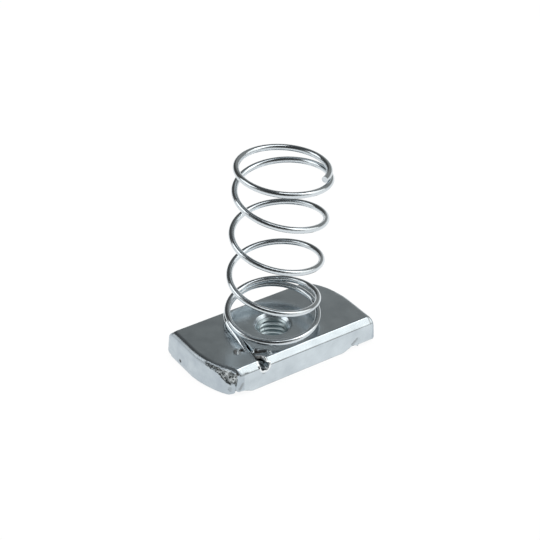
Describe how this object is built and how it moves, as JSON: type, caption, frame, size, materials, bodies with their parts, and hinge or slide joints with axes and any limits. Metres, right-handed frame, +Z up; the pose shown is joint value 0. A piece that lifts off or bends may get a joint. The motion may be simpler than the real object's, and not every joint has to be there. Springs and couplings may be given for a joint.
{
  "type": "strut spring nut",
  "caption": "Grooved, threaded steel plate with two rounded corners and a long coil spring staked to its top face, for a slotted strut channel.",
  "frame": {"origin": "on the thread axis at the flat underside of the plate, on which the part stands", "axes": "+Z up from the grooved underside towards the spring; X along the plate's length; Y across it, with the slot that holds the wire's end at the -Y side"},
  "size_m": [0.0364, 0.0197, 0.0406],
  "materials": {
    "zinc_plate": "bright zinc plated steel, glossy top face, satin sides",
    "zinc_wire": "bright zinc plated spring wire"
  },
  "bodies": {
    "root": {"channel_nut": "zinc_plate", "spring": "zinc_wire"}
  },
  "joints": []
}
